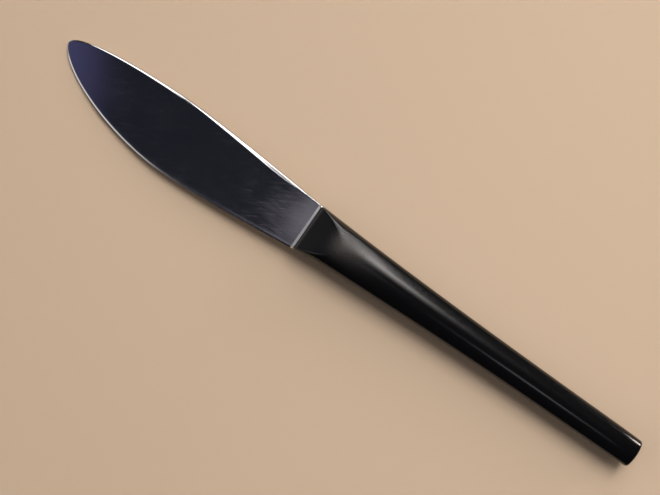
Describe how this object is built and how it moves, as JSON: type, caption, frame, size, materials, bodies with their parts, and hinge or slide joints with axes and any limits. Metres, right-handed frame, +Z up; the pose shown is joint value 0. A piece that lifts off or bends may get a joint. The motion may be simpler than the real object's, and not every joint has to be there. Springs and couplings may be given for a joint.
{
  "type": "table knife",
  "caption": "Table knife lying on its side: a polished leaf-shaped steel blade, cemented by a hidden tang into a black moulded handle whose flats rise from the seam into a round, tapering grip.",
  "frame": {"origin": "On the surface that the handle's underside touches, below the middle of the bounding box.", "axes": "+X from the tip of the blade to the butt of the handle, +Y from the cutting edge to the back of the blade, +Z up across the thickness; the knife is the same above and below its middle plane."},
  "size_m": [0.2084, 0.0226, 0.0099],
  "materials": {
    "polished_steel": "mirror polished",
    "black_plastic": "gloss moulded",
    "cement": "cast"
  },
  "bodies": {
    "root": {"blade": "polished_steel", "handle": "black_plastic", "tang_cement": "cement"}
  },
  "joints": []
}
